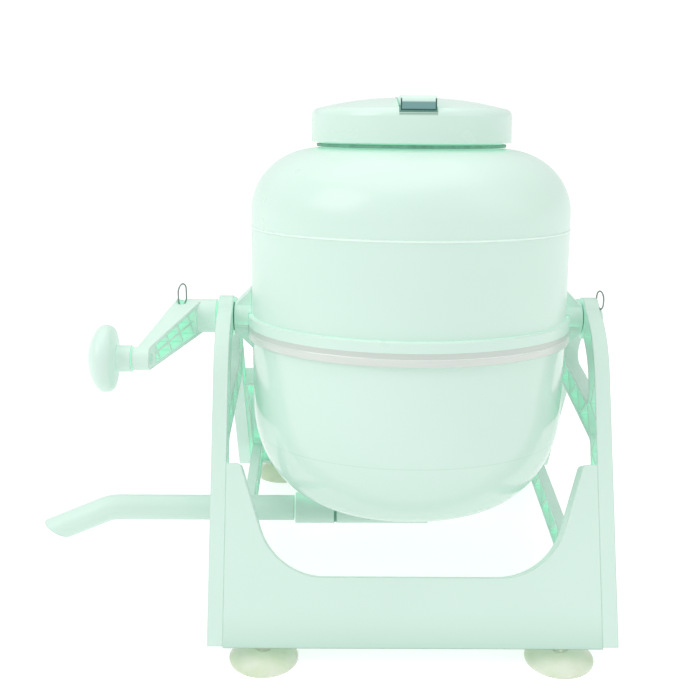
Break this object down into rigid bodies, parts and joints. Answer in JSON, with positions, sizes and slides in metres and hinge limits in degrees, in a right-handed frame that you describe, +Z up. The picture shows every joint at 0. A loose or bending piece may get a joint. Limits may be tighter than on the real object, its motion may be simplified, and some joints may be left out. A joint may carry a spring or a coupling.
{
  "type": "portable mini washer",
  "caption": "Hand-cranked tabletop washing drum with a twist-lock lid, tumbling in an A-shaped stand with suction feet and a push-in drain tube.",
  "frame": {"origin": "centre of the footprint on the table", "axes": "+X along the drum's axle, away from the crank; +Y to the back; +Z up"},
  "size_m": [0.4793, 0.371, 0.4196],
  "materials": {
    "mint_plastic": "moulded, satin",
    "mint_gloss": "moulded, glossy",
    "bearing_plastic": "moulded",
    "white_plastic": "moulded",
    "grey_band": "satin",
    "clear_rubber": "translucent, glossy",
    "seal_rubber": "matte",
    "steel": "zinc plated"
  },
  "bodies": {
    "stand": {"side_frame_left": "mint_plastic", "side_frame_right": "mint_plastic", "base_rail_left": "mint_plastic", "base_rail_right": "mint_plastic", "hub_bush_left": "bearing_plastic", "hub_bush_right": "bearing_plastic", "front_panel": "mint_plastic", "rear_panel": "mint_plastic", "suction_cup_front_left": "clear_rubber", "suction_cup_front_right": "clear_rubber", "suction_cup_rear_left": "clear_rubber", "suction_cup_rear_right": "clear_rubber", "frame_screws_left": "steel", "frame_screws_right": "steel"},
    "drum": {"upper_shell": "mint_gloss", "lower_bowl": "mint_gloss", "body_gasket": "seal_rubber", "clamp_band": "grey_band", "trunnion_left": "mint_plastic", "trunnion_right": "mint_plastic", "axle_left": "mint_plastic", "axle_right": "mint_plastic", "thrust_washer_left": "bearing_plastic", "thrust_washer_right": "bearing_plastic", "split_pin_left": "steel", "split_pin_right": "steel", "crank_arm": "mint_plastic", "knob_washer": "bearing_plastic", "knob_spindle": "steel", "valve_housing": "mint_plastic", "socket_ring": "seal_rubber", "drain_plug": "mint_plastic", "poppet_spring": "steel"},
    "knob": {"crank_knob": "mint_plastic", "knob_cap": "mint_plastic"},
    "lid_seal": {"seal_plate": "white_plastic", "lid_gasket": "seal_rubber"},
    "lid": {"lid_cap": "mint_gloss", "lid_screw": "steel", "lever_pin": "steel"},
    "lever": {"lid_lever": "mint_plastic"},
    "poppet": {"drain_poppet": "white_plastic"},
    "tube": {"drain_tube": "mint_plastic"}
  },
  "joints": [
    {"name": "drum_tumble", "type": "hinge", "parent": "stand", "child": "drum", "pos_m": [0, 0, 0.228], "axis": [1, 0, 0], "continuous": true},
    {"name": "knob_spin", "type": "hinge", "parent": "drum", "child": "knob", "pos_m": [-0.235, -0.08479, 0.22207], "axis": [1, 0, 0], "continuous": true},
    {"name": "lid_lift", "type": "slide", "parent": "drum", "child": "lid_seal", "axis": [0, 0.1668, 0.986], "range_m": [0, 0.06]},
    {"name": "lid_turn", "type": "hinge", "parent": "lid_seal", "child": "lid", "pos_m": [0, 0.02752, 0.39069], "axis": [0, 0.1668, 0.986], "range_deg": [-40, 0]},
    {"name": "lever_flip", "type": "hinge", "parent": "lid", "child": "lever", "pos_m": [0, 0.01581, 0.40545], "axis": [-1, 0, 0], "range_deg": [0, 85]},
    {"name": "drain_poppet", "type": "slide", "parent": "drum", "child": "poppet", "axis": [1, 0, 0], "range_m": [0, 0.005], "stiffness_N_per_m": 120, "springref_m": -0.01, "deforming": ["poppet_spring"]},
    {"name": "drain_tube_pull", "type": "slide", "parent": "stand", "child": "tube", "axis": [1, 0, 0], "range_m": [-0.16, 0.013]}
  ]
}
